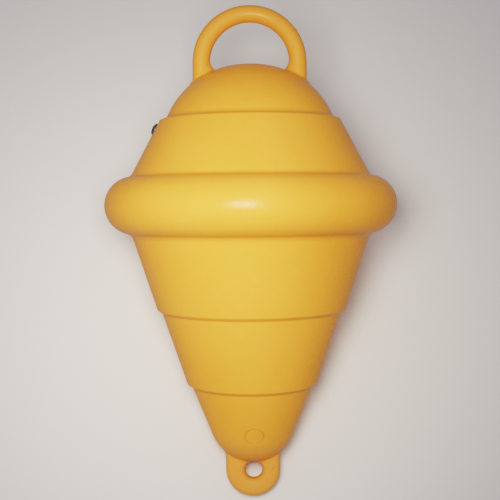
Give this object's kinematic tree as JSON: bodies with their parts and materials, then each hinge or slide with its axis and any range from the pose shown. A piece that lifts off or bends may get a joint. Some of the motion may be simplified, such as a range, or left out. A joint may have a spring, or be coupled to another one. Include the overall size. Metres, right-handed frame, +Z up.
{
  "type": "mooring buoy",
  "caption": "biconical moulded mooring buoy with a bumper ring, an arched carrying handle on top, a stepped lower body and a flat lug with an eye below, and a plug in its filling hole",
  "frame": {"origin": "middle of the bounding box in X and Y, on the floor that the buoy lies on", "axes": "+Z up off the floor; the buoy's own axis lies in the YZ plane, with the lug towards -Y and the handle towards +Y and about 25 degrees higher; +X along the flat of the lug and across the handle's arch, away from the plug"},
  "size_m": [0.3196, 0.4944, 0.2959],
  "materials": {
    "buoy_body": "blow-moulded yellow polyethylene with a satin skin off a blasted mould, slightly uneven where the wall cooled",
    "filler_plug": "injection-moulded plug in near-black blue plastic, smooth and glossy"
  },
  "bodies": {
    "root": {"buoy_body": "buoy_body", "filler_plug": "filler_plug"}
  },
  "joints": []
}
